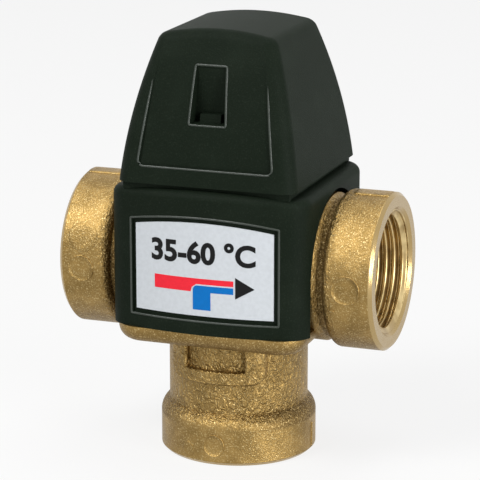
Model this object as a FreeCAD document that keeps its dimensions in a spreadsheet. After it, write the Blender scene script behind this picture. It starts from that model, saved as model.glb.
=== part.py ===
"""Thermostatic mixing valve: a three-way valve body with a plastic cover and a push-on cap.

The part stands on its bottom port. X runs through the two side ports (hot inlet at -X, mixed
outlet at +X), -Y is the labelled front, +Z is up and the origin is the middle of the bottom face.
All sizes are millimetres.
"""
import FreeCAD, Part
import math
import os

import Sketcher

Vector = FreeCAD.Vector
NEAR = 0.01  # positions closer than this are the same

SIZES = {
    # ports and their hubs
    "face_span": 70, "port_height": 42, "hub_radius": 16.9, "hub_chamfer": 0.7,
    "side_hub_length": 9.7, "shoulder_length": 1.4, "shoulder_bulge": 0.55,
    "shoulder_bulge_run": 1.0, "groove_radius": 14.9, "groove_width": 1.2,
    "ring_radius": 15.9, "bottom_hub_length": 7.5, "bottom_shoulder_length": 3.6,
    "bottom_bulge": 0.47, "bottom_bulge_rise": 2.2,
    "neck_radius": 15.1, "thread_root_radius": 13.2, "countersink": 0.7, "thread_depth": 14.5,
    "bottom_thread_depth": 16, "passage_radius": 9.5,
    # forged block that carries the cover
    "saddle_bottom": 27, "saddle_width": 42, "saddle_depth": 44, "saddle_corner": 6,
    "saddle_edge": 3.3, "drum_radius": 17.8, "drum_drop": 4.3, "chamber_radius": 14.2,
    "chamber_floor": 30, "overcut": 1,
    # raised frame on the front of the neck
    "frame_relief": 1.3, "frame_width": 21, "frame_rail": 4, "frame_bottom": 17.8,
    "frame_foot": 3, "frame_corner": 2.6, "frame_edge": 0.5,
    # cover
    "cover_bottom": 30.8, "cover_top": 61.3, "cover_width": 44, "cover_depth": 46,
    "cover_corner": 5, "cover_edge": 1.8, "cover_wall": 2.1, "cover_bow": 75,
    "cover_crown": 0.8, "arch_clearance": 0.9, "collar_clearance": 0.3,
    "plinth_height": 0.8, "plinth_inset": 1.3, "collar_height": 2.2, "collar_inset": 2.6,
    # label and the recess it lies in
    "label_width": 30.6, "label_bottom": 34.9, "label_shoulder": 53.4, "label_top": 54.85,
    "label_thickness": 0.25, "recess_depth": 0.6, "recess_margin": 0.85,
    # cap
    "cap_top": 94, "cap_width": 39.4, "cap_depth": 43.2,
    "cap_top_width": 24.6, "cap_top_depth": 28, "cap_side_bulge": 1.05, "cap_corner": 3.2,
    "cap_edge": 2.8, "cap_wall": 2.0, "cap_crown": 3.6, "cap_roof": 2.8,
    "panel_bottom": 66, "panel_top": 87.5, "panel_width": 29.2, "panel_top_width": 23.4,
    "panel_relief": 0.55, "finger_bottom": 75, "finger_top": 86.6, "finger_width": 7.6,
    "finger_top_width": 6.3, "finger_reach": 4, "finger_wall": 1.5, "tongue_width": 4.6,
    "tongue_height": 1.8, "tongue_inset": 2.2,
    # bonnet
    "bonnet_bottom": 53.4, "bonnet_clearance": 0.1, "bonnet_wall": 1.8, "flange_radius": 15.4,
    "flange_height": 3.8, "wrench_flats": 24, "wrench_height": 5.2, "boss_radius": 9.5,
    "bonnet_top": 75, "seat_web": 56, "nut_flats": 15.1, "nut_slide_gap": 0.15,
    "guide_top": 71.6, "seal_width": 0.8, "seal_height": 0.75, "seat_ring_height": 1.1,
    "seat_ring_radius": 11, "seat_bore_radius": 7.4,
    # spindle and what sits on it
    "spindle_bottom": 64.2, "spindle_thread_radius": 3.9, "spindle_flange_radius": 5.4,
    "spindle_flange": 1.2, "thrust_gap": 0.05, "washer_thickness": 0.5, "shaft_radius": 3.2,
    "shaft_gap": 0.08, "gland_height": 1.1, "gland_radius": 2.45, "clip_thickness": 0.6,
    "clip_groove_radius": 2.6, "clip_radius": 4.6, "drive_radius": 3.0, "drive_flat": 2.3,
    "spindle_top": 85, "screw_bore_radius": 1.25,
    # knob
    "knob_bottom": 76.6, "knob_top": 88.8, "knob_radius": 11.0, "knob_top_radius": 9.3,
    "knob_edge": 1.2, "knob_skirt": 2.2, "knob_hub_radius": 5, "knob_web_bottom": 82.4,
    "flute_count": 12, "flute_radius": 1.9, "flute_depth": 0.9, "screw_recess_radius": 3.4,
    "screw_head_radius": 2.7, "screw_head_height": 1.8, "screw_radius": 1.15,
    "screw_length": 7, "screw_seat": 1.2, "screw_slot": 0.8,
    # nut, overload spring, cup and pin
    "nut_bottom": 58.6, "nut_top": 68.4, "nut_bore_radius": 4.0, "nut_well_radius": 6.2,
    "nut_well_top": 64.4, "cup_radius": 6.0, "cup_bottom": 59.5, "cup_height": 1.2,
    "cup_ring_thickness": 0.55, "cup_ring_bore": 4.4, "cup_ring_grip": 0.35,
    "overload_coil_radius": 4.8, "overload_wire": 0.8, "overload_turns": 2.5,
    "pin_radius": 1.25, "pin_gap": 0.07, "pin_bottom": 48.0, "pin_run": 2.2,
    # wax element
    "capsule_radius": 4.6, "capsule_bottom": 36.5, "capsule_top": 49.6, "capsule_round": 1.2,
    "collar_radius": 6.0, "collar_thickness": 0.9, "guide_flange": 1.2, "guide_radius": 2.9,
    "guide_top_height": 56.4, "guide_tip_radius": 2.2,
    # spool
    "spool_bottom": 47.2, "spool_top": 53.1, "spool_radius": 8.8, "spool_wall": 1.2,
    "spool_flange_radius": 10.0, "spool_flange_bottom": 49.9, "spool_flange_height": 2.8,
    "spool_seal_radius": 8.9, "spool_seal_height": 1.3, "spool_seal_gap": 0.08,
    "spool_web": 1.0, "spoke_width": 2.4, "spoke_count": 4, "spool_hub": 3.8,
    "spool_rim": 0.4, "spool_clip_thickness": 0.6,
    "spool_clip_radius": 4.2,
    # flow insert and return spring
    "insert_radius": 12, "insert_bore": 10.2, "insert_floor": 32.5, "insert_floor_height": 2,
    "insert_top": 53.6, "shelf_top": 44.9, "shelf_thickness": 1.3, "shelf_bore": 7.0,
    "pad_radius": 11, "pad_gap": 0.15, "hot_window_bottom": 45.5, "hot_window_height": 3.1,
    "window_width": 15, "mix_window_bottom": 35.5, "mix_window_top": 43.2,
    "foot_width": 4, "foot_count": 4, "insert_foot_overlap": 0.8, "hot_ring_height": 0.5,
    "hot_ring_radius": 9.4, "hot_ring_bore": 7.2, "return_coil_radius": 5.6, "return_wire": 0.9,
    "return_turns": 4.5,
}


class Formula:
    """A number together with the sheet expression that gives it."""

    def __init__(self, text, value):
        self.text, self.value = text, float(value)

    def _join(self, sign, other, value):
        return Formula(f"({self.text} {sign} {formula(other).text})", value)

    def __add__(self, other):
        return self._join("+", other, self.value + formula(other).value)

    def __sub__(self, other):
        return self._join("-", other, self.value - formula(other).value)

    def __mul__(self, other):
        return self._join("*", other, self.value * formula(other).value)

    def __truediv__(self, other):
        return self._join("/", other, self.value / formula(other).value)

    def __neg__(self):
        return Formula(f"(0 - {self.text})", -self.value)

    def __radd__(self, other):
        return formula(other) + self

    def __rsub__(self, other):
        return formula(other) - self

    def __rmul__(self, other):
        return formula(other) * self


def formula(number):
    return number if isinstance(number, Formula) else Formula(repr(float(number)), number)


def root(number):
    return Formula(f"sqrt({number.text})", math.sqrt(number.value))


class Sheet:
    """The spreadsheet of driving sizes; each size reads as an attribute."""

    def __init__(self, document, sizes):
        self.cells = document.addObject("Spreadsheet::Sheet", "Sizes")
        for row, (alias, number) in enumerate(sizes.items(), start=1):
            self.cells.set(f"A{row}", alias)
            self.cells.set(f"B{row}", str(number))
            self.cells.setAlias(f"B{row}", alias)
            setattr(self, alias, Formula(f"Sizes.{alias}", number))


doc = FreeCAD.newDocument("mixing_valve")
size = Sheet(doc, SIZES)
doc.recompute()


# ---------------------------------------------------------------- building blocks

def bind(thing, name, number):
    """Drive one property of a feature from the sheet."""
    thing.setExpression(name, formula(number).text)


def new_body(label):
    body = doc.addObject("PartDesign::Body", label)
    body.Label = label
    return body


def origin_plane(body, role):
    return next(item for item in body.Origin.OriginFeatures if item.Role == role)


def new_sketch(body, role, along=0):
    """A sketch on an origin plane, moved along the plane's normal."""
    sketch = body.newObject("Sketcher::SketchObject", "Sketch")
    sketch.AttachmentSupport = [(origin_plane(body, role), "")]
    sketch.MapMode = "FlatFace"
    bind(sketch, "AttachmentOffset.Base.z", along)
    return sketch


def place_point(sketch, index, end, point):
    for kind, number in zip(("DistanceX", "DistanceY"), point):
        number = formula(number)
        at = sketch.addConstraint(Sketcher.Constraint(kind, -1, 1, index, end, number.value))
        bind(sketch, f"Constraints[{at}]", number)


def at(point):
    return Vector(formula(point[0]).value, formula(point[1]).value, 0)


def arc_through(start, middle, end):
    """An arc of circle through three points, and whether it runs from start to end."""
    circle = Part.Arc(start, middle, end).toShape().Curve
    centre, radius = circle.Center, circle.Radius
    angles = [math.atan2(p.y - centre.y, p.x - centre.x) for p in (start, middle, end)]
    turn = math.tau
    forward = (angles[1] - angles[0]) % turn < (angles[2] - angles[0]) % turn
    first, last = (angles[0], angles[2]) if forward else (angles[2], angles[0])
    if last < first:
        last += turn
    full = Part.Circle(centre, Vector(0, 0, 1), radius)
    return Part.ArcOfCircle(full, first, last), forward


class Arc:
    """Marks the edge to the next corner of an outline as an arc through this point."""

    def __init__(self, x, y):
        self.point = (x, y)


def draw(sketch, outline):
    """A closed outline of corners, with an Arc between two corners where the edge is round."""
    corners = [item for item in outline if not isinstance(item, Arc)]
    through = {}
    for place, item in enumerate(outline):
        if isinstance(item, Arc):
            before = sum(1 for one in outline[:place] if not isinstance(one, Arc)) - 1
            through[before] = item
    ends = []
    for number, corner in enumerate(corners):
        follower = corners[(number + 1) % len(corners)]
        if number in through:
            middle = through[number].point
            arc, forward = arc_through(at(corner), at(middle), at(follower))
            index = sketch.addGeometry(arc)
            ends.append((index, 1, 2) if forward else (index, 2, 1))
            mark = sketch.addGeometry(Part.Point(at(middle)), True)
            place_point(sketch, mark, 1, middle)
            sketch.addConstraint(Sketcher.Constraint("PointOnObject", mark, 1, index))
        else:
            index = sketch.addGeometry(Part.LineSegment(at(corner), at(follower)))
            ends.append((index, 1, 2))
    for number, (index, first, last) in enumerate(ends):
        follower = ends[(number + 1) % len(ends)]
        sketch.addConstraint(Sketcher.Constraint("Coincident", index, last, *follower[:2]))
        place_point(sketch, index, first, corners[number])


def rectangle(sketch, width, depth, middle=(0, 0)):
    x, y = middle
    draw(sketch, [(x - width / 2, y - depth / 2), (x + width / 2, y - depth / 2),
                  (x + width / 2, y + depth / 2), (x - width / 2, y + depth / 2)])


def disc(sketch, radius, middle=(0, 0)):
    circle = Part.Circle(at(middle), Vector(0, 0, 1), formula(radius).value)
    index = sketch.addGeometry(circle)
    place_point(sketch, index, 3, middle)
    at_radius = sketch.addConstraint(Sketcher.Constraint("Radius", index, formula(radius).value))
    bind(sketch, f"Constraints[{at_radius}]", radius)


def extrude(body, kind, sketch, length=None, both_ways=False, backwards=False, through=False):
    feature = body.newObject(f"PartDesign::{kind}", kind)
    feature.Profile = sketch
    feature.Reversed = backwards
    if both_ways:
        feature.SideType = "Symmetric"
    if through:
        feature.Type = "ThroughAll"
    else:
        bind(feature, "Length", length)
    doc.recompute()
    return feature


def turn(body, kind, outline, axis="V_Axis", raised=0):
    """Revolve an outline on the XZ plane about the sketch's own axis."""
    sketch = new_sketch(body, "XZ_Plane")
    bind(sketch, "AttachmentOffset.Base.y", raised)
    draw(sketch, outline)
    feature = body.newObject(f"PartDesign::{kind}", kind)
    feature.Profile = sketch
    feature.ReferenceAxis = (sketch, [axis])
    feature.Angle = 360
    doc.recompute()
    return feature


def tube(body, kind, inner, outer, bottom, top):
    return turn(body, kind, [(inner, bottom), (outer, bottom), (outer, top), (inner, top)])


def prism(body, kind, flats, bottom, height):
    feature = body.newObject(f"PartDesign::{kind}Prism", kind)
    feature.Polygon = 6
    bind(feature, "Circumradius", flats / math.sqrt(3))
    bind(feature, "Height", height)
    bind(feature, "AttachmentOffset.Base.z", bottom)
    feature.AttachmentSupport = [(origin_plane(body, "XY_Plane"), "")]
    feature.MapMode = "FlatFace"
    doc.recompute()
    return feature


def dress(body, kind, feature, wanted, amount):
    """Fillet or chamfer the edges of a feature that the test picks out."""
    names = [f"Edge{number}" for number, edge in enumerate(feature.Shape.Edges, start=1)
             if wanted(edge)]
    if not names:
        raise RuntimeError(f"{body.Label}: no edge to {kind.lower()}")
    dressed = body.newObject(f"PartDesign::{kind}", kind)
    dressed.Base = (feature, names)
    bind(dressed, "Radius" if kind == "Fillet" else "Size", amount)
    doc.recompute()
    return dressed


def repeat(body, feature, count):
    """Repeat a feature evenly about the Z axis."""
    pattern = body.newObject("PartDesign::PolarPattern", "PolarPattern")
    pattern.Originals = [feature]
    pattern.Axis = (origin_plane(body, "Z_Axis"), [""])
    pattern.Angle = 360
    bind(pattern, "Occurrences", count)
    body.Tip = pattern
    doc.recompute()
    return pattern


def upright(edge):
    box = edge.BoundBox
    return box.ZLength > NEAR and box.XLength < NEAR and box.YLength < NEAR


def flat_at(height):
    level = formula(height).value
    return lambda edge: (edge.BoundBox.ZLength < NEAR
                         and abs(edge.BoundBox.ZMin - level) < NEAR)


def bow(half, inset):
    """Front edge of the cover's plan from -half to half, set back by the inset."""
    reach = size.cover_depth / 2 - inset
    side = reach - (size.cover_bow - root(size.cover_bow * size.cover_bow - half * half))
    return [(-half, -side), Arc(0, -reach), (half, -side)]


def bowed_plan(sketch, inset=0):
    """Plan of the cover: straight sides, with the front and the back bowed alike."""
    front = bow(size.cover_width / 2 - inset, inset)
    draw(sketch, front + turned_round(front))


# ---------------------------------------------------------------- valve body

def drum_top():
    """Top of the forged drum, on which the bonnet's flange seats."""
    return size.cover_top - size.drum_drop


def make_valve_body():
    body = new_body("valve_body")
    half_span = size.face_span / 2
    crossing = size.port_height

    sketch = new_sketch(body, "XY_Plane", size.saddle_bottom)
    rectangle(sketch, size.saddle_width, size.saddle_depth)
    saddle = extrude(body, "Pad", sketch, size.cover_bottom - size.saddle_bottom)
    saddle = dress(body, "Fillet", saddle, upright, size.saddle_corner)
    dress(body, "Fillet", saddle, flat_at(size.saddle_bottom), size.saddle_edge)

    hub_top = size.bottom_hub_length
    kink = hub_top + size.bottom_shoulder_length
    turn(body, "Revolution", [
        (0, 0), (size.hub_radius - size.hub_chamfer, 0), (size.hub_radius, size.hub_chamfer),
        (size.hub_radius, hub_top),
        Arc(size.hub_radius - size.bottom_bulge, hub_top + size.bottom_bulge_rise),
        (size.neck_radius, kink), (size.neck_radius, size.cover_bottom),
        (size.drum_radius, size.cover_bottom), (size.drum_radius, drum_top()),
        (0, drum_top())])

    outer = size.neck_radius + size.frame_relief
    half, rail = size.frame_width / 2, size.frame_width / 2 - size.frame_rail
    foot = size.frame_bottom + size.frame_foot
    sketch = new_sketch(body, "XZ_Plane")
    draw(sketch, [(-half, size.frame_bottom), (half, size.frame_bottom),
                  (half, size.cover_bottom), (rail, size.cover_bottom), (rail, foot),
                  (-rail, foot), (-rail, size.cover_bottom), (-half, size.cover_bottom)])
    frame = extrude(body, "Pad", sketch, outer)
    at_bottom = flat_at(size.frame_bottom)

    def frame_corner(edge):
        box = edge.BoundBox
        return at_bottom(edge) and box.YLength > NEAR and box.XLength < NEAR

    dress(body, "Fillet", frame, frame_corner, size.frame_corner)
    trimmed = tube(body, "Groove", outer, size.saddle_depth / 2, kink, size.saddle_bottom)
    skin, under = outer.value, size.saddle_bottom.value

    def frame_rim(edge):
        return all(abs(math.hypot(point.X, point.Y) - skin) < NEAR and point.Z < under + NEAR
                   for point in edge.Vertexes) and edge.BoundBox.ZMin < under - NEAR

    dress(body, "Fillet", trimmed, frame_rim, size.frame_edge)

    face, chamfer = half_span, size.hub_chamfer
    shoulder = half_span - size.side_hub_length
    groove = shoulder - size.shoulder_length
    ring = groove - size.groove_width
    step = ring - (size.ring_radius - size.groove_radius)
    side = [(face, 0), (face, size.hub_radius - chamfer), (face - chamfer, size.hub_radius),
            (shoulder, size.hub_radius),
            Arc(shoulder - size.shoulder_bulge_run, size.hub_radius - size.shoulder_bulge),
            (groove, size.groove_radius), (ring, size.groove_radius), (step, size.ring_radius)]
    turn(body, "Revolution", both_sides(side), "H_Axis", crossing)

    bore_end = half_span - size.thread_depth
    runout = size.thread_root_radius - size.passage_radius
    bore = [(face, 0), (face, size.thread_root_radius + size.countersink),
            (face - size.countersink, size.thread_root_radius),
            (bore_end, size.thread_root_radius), (bore_end - runout, size.passage_radius)]
    turn(body, "Groove", both_sides(bore), "H_Axis", crossing)

    end = size.bottom_thread_depth
    turn(body, "Groove", [
        (0, 0), (size.thread_root_radius + size.countersink, 0),
        (size.thread_root_radius, size.countersink), (size.thread_root_radius, end),
        (size.passage_radius, end + runout), (size.passage_radius, size.chamber_floor),
        (size.chamber_radius, size.chamber_floor), (size.chamber_radius, drum_top()),
        (size.drum_radius, drum_top()), (size.drum_radius, size.cover_top),
        (0, size.cover_top)])
    return body


def both_sides(outline):
    """Complete half an outline with its mirror image in the upright axis."""
    mirrored = [Arc(-item.point[0], item.point[1]) if isinstance(item, Arc)
                else (-item[0], item[1]) for item in reversed(outline)]
    return outline + mirrored


def turned_round(outline):
    """The same run of points turned half a turn about the middle."""
    return [Arc(-item.point[0], -item.point[1]) if isinstance(item, Arc)
            else (-item[0], -item[1]) for item in outline]


# ---------------------------------------------------------------- cover and label

def recess_outline(margin):
    """Outline shared by the label and the recess round it, seen from the front."""
    half = size.label_width / 2 + margin
    low = size.label_bottom - margin
    shoulder, top = size.label_shoulder + margin, size.label_top + margin
    return [(-half, low), (half, low), (half, shoulder), Arc(0, top), (-half, shoulder)]


def make_cover():
    body = new_body("cover")
    sketch = new_sketch(body, "XY_Plane", size.cover_bottom)
    bowed_plan(sketch)
    shell = extrude(body, "Pad", sketch, size.cover_top - size.cover_bottom)
    shell = dress(body, "Fillet", shell, upright, size.cover_corner)

    half = size.cover_width / 2
    over = size.cover_top + size.cover_crown
    eaves = size.cover_top - size.cover_crown
    sketch = new_sketch(body, "XZ_Plane")
    draw(sketch, [(-half, over), (-half, eaves), Arc(0, size.cover_top), (half, eaves),
                  (half, over)])
    crowned = extrude(body, "Pocket", sketch, size.cover_depth, both_ways=True)
    lowest = eaves.value

    def top_rim(edge):
        return edge.BoundBox.ZMin > lowest - NEAR

    dress(body, "Fillet", crowned, top_rim, size.cover_edge)

    half = size.label_width / 2 + size.recess_margin
    floor = bow(half, size.recess_depth)
    low = size.label_bottom - size.recess_margin
    sketch = new_sketch(body, "XZ_Plane", -floor[0][1])
    draw(sketch, recess_outline(size.recess_margin))
    extrude(body, "Pocket", sketch, size.cover_wall * 2, backwards=True)
    sketch = new_sketch(body, "XY_Plane", low)
    draw(sketch, floor + [(half, floor[2][1] + size.recess_depth),
                          (-half, floor[0][1] + size.recess_depth)])
    extrude(body, "Pad", sketch, size.label_top + size.recess_margin - low)

    roof = eaves - size.cover_wall
    sketch = new_sketch(body, "XY_Plane", size.cover_bottom)
    bowed_plan(sketch, size.cover_wall)
    extrude(body, "Pocket", sketch, roof - size.cover_bottom, backwards=True)

    plinth_top = size.cover_top + size.plinth_height
    collar_top = plinth_top + size.collar_height
    for inset, low, high in ((size.plinth_inset, eaves, plinth_top),
                             (size.collar_inset, plinth_top, collar_top)):
        sketch = new_sketch(body, "XY_Plane", low)
        rectangle(sketch, size.cap_width - inset * 2, size.cap_depth - inset * 2)
        extrude(body, "Pad", sketch, high - low)
    sketch = new_sketch(body, "XY_Plane", roof)
    disc(sketch, size.flange_radius + size.collar_clearance)
    extrude(body, "Pocket", sketch, collar_top - roof, backwards=True)

    arch = size.ring_radius + size.arch_clearance
    sketch = new_sketch(body, "YZ_Plane")
    draw(sketch, [(-arch, size.cover_bottom), (arch, size.cover_bottom),
                  (arch, size.port_height), Arc(0, size.port_height + arch),
                  (-arch, size.port_height)])
    extrude(body, "Pocket", sketch, size.cover_width, both_ways=True)
    return body


def make_label():
    """A printed film, bent to the floor of the recess that it lies in."""
    body = new_body("label")
    half = size.label_width / 2
    back = bow(half, size.recess_depth)
    face = bow(half, size.recess_depth - size.label_thickness)
    sketch = new_sketch(body, "XY_Plane", size.label_bottom)
    draw(sketch, face + list(reversed(back)))
    extrude(body, "Pad", sketch, size.label_top - size.label_bottom)
    over = size.label_top + size.overcut
    sketch = new_sketch(body, "XZ_Plane")
    draw(sketch, [(-half, size.label_shoulder), Arc(0, size.label_top),
                  (half, size.label_shoulder), (half, over), (-half, over)])
    extrude(body, "Pocket", sketch, size.cover_depth, both_ways=True)
    return body


# ---------------------------------------------------------------- cap

def cap_bottom():
    return size.cover_top + size.plinth_height


def cap_front(height, inset=0):
    """A point of the cap's front face, as (y, z), at this height and set back by the inset."""
    share = (height - cap_bottom()) / (size.cap_top - cap_bottom())
    reach = (size.cap_depth - (size.cap_depth - size.cap_top_depth) * share) / 2
    swell = size.cap_side_bulge * 4 * share * (1 - share)
    return (-(reach + swell - inset), height)


def loft(body, kind, sections, ruled=False):
    """A loft through rectangles given as (height, width, near y, far y)."""
    sketches = []
    for level, wide, near, far in sections:
        sketch = new_sketch(body, "XY_Plane", level)
        rectangle(sketch, wide, far - near, (0, (near + far) / 2))
        sketches.append(sketch)
    feature = body.newObject(f"PartDesign::{kind}Loft", kind)
    feature.Profile, feature.Sections, feature.Ruled = sketches[0], sketches[1:], ruled
    doc.recompute()
    return feature


def make_cap():
    body = new_body("cap")
    bottom, top = cap_bottom(), size.cap_top
    sketch = new_sketch(body, "XY_Plane", bottom)
    rectangle(sketch, size.cap_width, size.cap_depth)
    extrude(body, "Pad", sketch, top - bottom)
    middle = (bottom + top) / 2
    for role, wide, narrow, reach in (
            ("XZ_Plane", size.cap_width, size.cap_top_width, size.cap_depth),
            ("YZ_Plane", size.cap_depth, size.cap_top_depth, size.cap_width)):
        for side in (-1, 1):
            outer, inner = wide / 2 * side, narrow / 2 * side
            swell = (wide + narrow) / 4 * side + size.cap_side_bulge * side
            sketch = new_sketch(body, role)
            draw(sketch, [(outer, bottom), Arc(swell, middle), (inner, top), (outer, top)])
            shaped = extrude(body, "Pocket", sketch, reach, both_ways=True)
    foot, crest = bottom.value, top.value

    def rising(edge):
        return edge.BoundBox.ZMin < foot + NEAR and edge.BoundBox.ZMax > crest - NEAR

    dress(body, "Fillet", shaped, rising, size.cap_corner)

    reach = size.cap_width / 2
    sketch = new_sketch(body, "XZ_Plane")
    over = top + size.overcut
    draw(sketch, [(-reach, over), (-reach, top - size.cap_crown), Arc(0, top),
                  (reach, top - size.cap_crown), (reach, over)])
    crowned = extrude(body, "Pocket", sketch, size.cap_depth, both_ways=True)
    shoulder = (top - size.cap_crown).value

    def top_rim(edge):
        return edge.BoundBox.ZMin > shoulder

    dress(body, "Fillet", crowned, top_rim, size.cap_edge)

    outside = -(size.cap_depth / 2 + size.overcut)
    low, high = size.panel_bottom, size.panel_top
    halfway = (low + high) / 2
    loft(body, "Subtractive", [
        (low, size.panel_width, outside, cap_front(low, size.panel_relief)[0]),
        (halfway, (size.panel_width + size.panel_top_width) / 2, outside,
         cap_front(halfway, size.panel_relief / 2)[0]),
        (high, size.panel_top_width, outside, cap_front(high)[0])])

    roof = top - size.cap_roof
    swell = size.cap_side_bulge * 2
    wall = size.cap_wall * 2
    rooms = [(bottom, size.cap_width, size.cap_depth),
             (middle, (size.cap_width + size.cap_top_width) / 2 + swell,
              (size.cap_depth + size.cap_top_depth) / 2 + swell),
             (roof, size.cap_top_width, size.cap_top_depth)]
    loft(body, "Subtractive", [(level, wide - wall, (wall - deep) / 2, (deep - wall) / 2)
                               for level, wide, deep in rooms], ruled=True)

    low, high = size.finger_bottom, size.finger_top
    wall = size.finger_wall
    sketch = new_sketch(body, "YZ_Plane")
    draw(sketch, [cap_front(low - wall, size.finger_reach + wall), cap_front(low - wall, wall),
                  cap_front(high, wall), cap_front(high, size.cap_wall + wall)])
    extrude(body, "Pad", sketch, size.finger_width + wall * 2, both_ways=True)
    loft(body, "Subtractive", [
        (low, size.finger_width, outside, cap_front(low, size.finger_reach)[0]),
        (high, size.finger_top_width, outside, cap_front(high, size.panel_relief / 2)[0])],
        ruled=True)
    sketch = new_sketch(body, "YZ_Plane")
    tip = low + size.tongue_height
    draw(sketch, [cap_front(low, size.finger_reach + wall / 2), cap_front(low, size.tongue_inset),
                  cap_front(tip, size.tongue_inset), cap_front(tip, size.finger_reach + wall / 2)])
    extrude(body, "Pad", sketch, size.tongue_width, both_ways=True)
    return body


# ---------------------------------------------------------------- bonnet and seals

def make_bonnet():
    """Screwed into the drum; it guides the hexagonal nut and holds the spindle."""
    body = new_body("bonnet")
    skirt = size.chamber_radius - size.bonnet_clearance
    seat, flange = drum_top(), drum_top() + size.flange_height
    turn(body, "Revolution", [
        (0, size.bonnet_bottom), (skirt, size.bonnet_bottom), (skirt, seat),
        (size.flange_radius, seat), (size.flange_radius, flange), (size.boss_radius, flange),
        (size.boss_radius, size.bonnet_top), (0, size.bonnet_top)])
    prism(body, "Additive", size.wrench_flats, flange, size.wrench_height)
    tube(body, "Groove", 0, skirt - size.bonnet_wall, size.bonnet_bottom, size.seat_web)
    prism(body, "Subtractive", size.nut_flats + size.nut_slide_gap * 2, size.seat_web,
          size.guide_top - size.seat_web)
    well = size.spindle_flange_radius + size.shaft_gap
    washer_seat = thrust_seat()
    turn(body, "Groove", [
        (0, size.guide_top), (well, size.guide_top), (well, washer_seat),
        (size.shaft_radius + size.shaft_gap, washer_seat),
        (size.shaft_radius + size.shaft_gap, size.bonnet_top), (0, size.bonnet_top)])
    inner = seal_inner()
    tube(body, "Groove", inner, inner + size.seal_width, seat, seat + size.seal_height)
    return body


def seal_inner():
    return size.chamber_radius + (size.flange_radius - size.chamber_radius - size.seal_width) / 2


def thrust_seat():
    return spindle_shoulder() + size.washer_thickness + size.thrust_gap


def spindle_shoulder():
    return size.guide_top + size.spindle_flange


def ring(label, inner, outer, bottom, height):
    body = new_body(label)
    tube(body, "Revolution", inner, outer, bottom, bottom + height)
    return body


def make_bonnet_o_ring():
    inner = seal_inner()
    return ring("bonnet_o_ring", inner, inner + size.seal_width, drum_top(), size.seal_height)


def make_cold_seat_ring():
    return ring("cold_seat_ring", size.seat_bore_radius, size.seat_ring_radius,
                size.seat_web - size.seat_ring_height, size.seat_ring_height)


def make_hot_seat_ring():
    return ring("hot_seat_ring", size.hot_ring_bore, size.hot_ring_radius, size.shelf_top,
                size.hot_ring_height)


def make_thrust_washer():
    return ring("thrust_washer", size.shaft_radius + size.shaft_gap, size.spindle_flange_radius,
                thrust_seat() - size.washer_thickness, size.washer_thickness)


# ---------------------------------------------------------------- spindle and knob

def gland_bottom():
    return thrust_seat() + (size.bonnet_top - thrust_seat() - size.gland_height) / 2


def clip_bottom():
    return size.bonnet_top + size.thrust_gap


def make_spindle():
    """Adjusting spindle: thread, thrust flange, seal gland, clip groove and D-shaped drive."""
    body = new_body("spindle")
    shaft, gland, clip = size.shaft_radius, gland_bottom(), clip_bottom()
    gland_end, clip_end = gland + size.gland_height, clip + size.clip_thickness
    turn(body, "Revolution", [
        (0, size.spindle_bottom), (size.spindle_thread_radius, size.spindle_bottom),
        (size.spindle_thread_radius, size.guide_top),
        (size.spindle_flange_radius, size.guide_top),
        (size.spindle_flange_radius, spindle_shoulder()), (shaft, spindle_shoulder()),
        (shaft, gland), (size.gland_radius, gland), (size.gland_radius, gland_end),
        (shaft, gland_end), (shaft, clip), (size.clip_groove_radius, clip),
        (size.clip_groove_radius, clip_end), (shaft, clip_end), (shaft, size.knob_bottom),
        (size.drive_radius, size.knob_bottom), (size.drive_radius, size.spindle_top),
        (0, size.spindle_top)])
    sketch = new_sketch(body, "XY_Plane", size.knob_bottom)
    rectangle(sketch, size.shaft_radius, size.shaft_radius * 2,
              (size.drive_flat + size.shaft_radius / 2, 0))
    extrude(body, "Pocket", sketch, size.spindle_top - size.knob_bottom, backwards=True)
    tube(body, "Groove", 0, size.screw_bore_radius,
         size.spindle_top - size.screw_length - size.overcut, size.spindle_top)
    return body


def make_spindle_o_ring():
    return ring("spindle_o_ring", size.gland_radius, size.shaft_radius + size.shaft_gap / 2,
                gland_bottom(), size.gland_height)


def make_spindle_clip():
    """Open retaining ring in the spindle's groove, above the bonnet."""
    body = ring("spindle_clip", size.clip_groove_radius, size.clip_radius, clip_bottom(),
                size.clip_thickness)
    sketch = new_sketch(body, "XY_Plane", clip_bottom())
    rectangle(sketch, size.clip_groove_radius, size.clip_radius, (0, -size.clip_radius / 2))
    extrude(body, "Pocket", sketch, size.clip_thickness, backwards=True)
    return body


def make_knob():
    """Fluted hand knob with a D-shaped bore, a hollow skirt and a recess for its screw."""
    body = new_body("knob")
    bottom, top = size.knob_bottom, size.knob_top
    radius, crest = size.knob_radius, size.knob_top_radius
    web, recess = size.knob_web_bottom, size.spindle_top
    inner = radius - size.knob_skirt
    slope = (radius - crest) * ((web - bottom) / (top - bottom))
    turn(body, "Revolution", [
        (0, bottom), (size.knob_hub_radius, bottom), (size.knob_hub_radius, web),
        (inner - slope, web), (inner, bottom), (radius, bottom),
        (crest, top - size.knob_edge), (crest - size.knob_edge, top), (0, top)])
    sketch = new_sketch(body, "XY_Plane", bottom)
    disc(sketch, size.flute_radius, (radius + size.flute_radius - size.flute_depth, 0))
    flute = extrude(body, "Pocket", sketch, top - bottom, backwards=True)
    repeat(body, flute, size.flute_count)
    sketch = new_sketch(body, "XY_Plane", bottom)
    disc(sketch, size.drive_radius + size.shaft_gap)
    extrude(body, "Pocket", sketch, recess - bottom, backwards=True)
    flat = size.drive_flat + size.shaft_gap
    sketch = new_sketch(body, "XY_Plane", bottom)
    rectangle(sketch, size.knob_hub_radius - flat, size.drive_radius * 2,
              ((size.knob_hub_radius + flat) / 2, 0))
    extrude(body, "Pad", sketch, recess - bottom)
    tube(body, "Groove", 0, size.screw_radius + size.shaft_gap, recess - size.overcut,
         recess + size.screw_seat)
    tube(body, "Groove", 0, size.screw_recess_radius, recess + size.screw_seat, top)
    return body


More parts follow.
